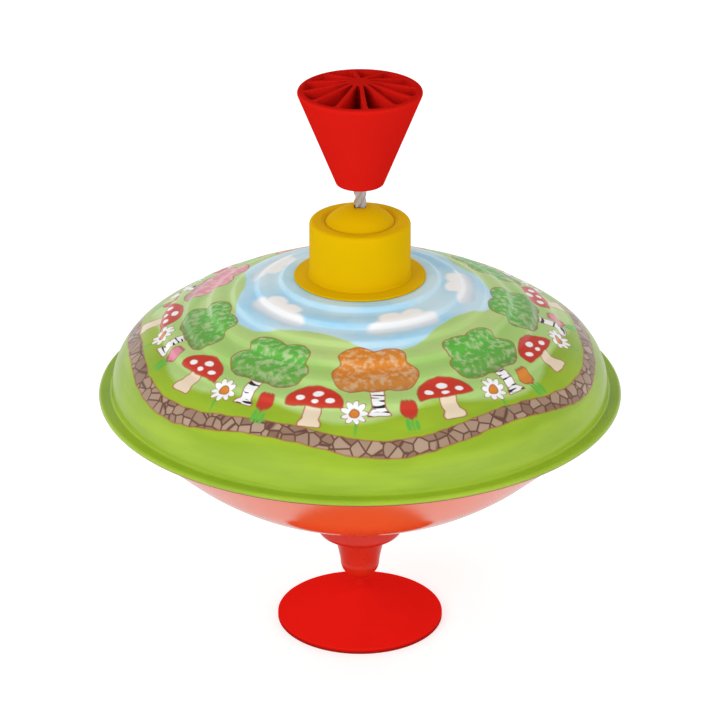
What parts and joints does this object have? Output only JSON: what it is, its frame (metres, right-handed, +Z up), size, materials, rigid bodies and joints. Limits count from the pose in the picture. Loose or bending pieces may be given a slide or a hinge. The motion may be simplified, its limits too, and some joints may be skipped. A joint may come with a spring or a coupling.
{
  "type": "musical spinning top",
  "caption": "Tin spinning top on a disc foot, driven by pumping a ribbed handle on a twisted square rod through a one-way clutch; reeds inside sound as it turns.",
  "frame": {"origin": "centre of the foot's underside, on the surface that the top stands on", "axes": "+Z up along the spindle and the rod"},
  "size_m": [0.19, 0.19, 0.2124],
  "materials": {
    "red_plastic": "moulded, satin",
    "red_gloss_plastic": "moulded, polished",
    "yellow_plastic": "moulded, satin",
    "white_plastic": "moulded, plain",
    "printed_tin": "printed tinplate under clear lacquer",
    "red_lacquered_tin": "glossy red lacquer on tinplate",
    "plated_steel": "zinc plated, worn bright",
    "spring_steel": "oiled spring steel",
    "plate_aluminium": "rolled sheet",
    "reed_brass": "rolled strip",
    "felt": "pressed felt"
  },
  "bodies": {
    "foot": {"foot_disc": "red_plastic", "pivot_pin": "plated_steel", "pin_clip": "spring_steel"},
    "spinner": {"pivot_bush": "white_plastic", "thrust_plate": "plated_steel", "neck_socket": "red_gloss_plastic", "lower_shell": "red_lacquered_tin", "upper_shell": "printed_tin", "guide_tube": "plated_steel", "drum_gasket": "felt", "reed_drum": "white_plastic", "reed_plate": "plate_aluminium", "reeds": "reed_brass", "reed_rivets": "plate_aluminium", "neck_lock_ring": "spring_steel", "collar": "yellow_plastic", "collar_lock_ring": "spring_steel", "clutch_ring": "white_plastic", "clutch_retainer": "spring_steel"},
    "drive_nut": {"drive_nut": "yellow_plastic"},
    "plunger": {"spiral_rod": "plated_steel", "rod_stop": "spring_steel", "handle": "red_plastic"}
  },
  "joints": [
    {"name": "body_spin", "type": "hinge", "parent": "foot", "child": "spinner", "pos_m": [0, 0, 0.0187], "axis": [0, 0, 1], "continuous": true},
    {"name": "rod_pump", "type": "slide", "parent": "spinner", "child": "plunger", "axis": [0, 0, 1], "range_m": [0, 0.1034]},
    {"name": "nut_spin", "type": "hinge", "parent": "spinner", "child": "drive_nut", "pos_m": [0, 0, 0.1575], "axis": [0, 0, 1], "continuous": true}
  ],
  "couplings": [
    {"joint": "nut_spin", "follows": "rod_pump", "rad_per_m": -418.88}
  ]
}
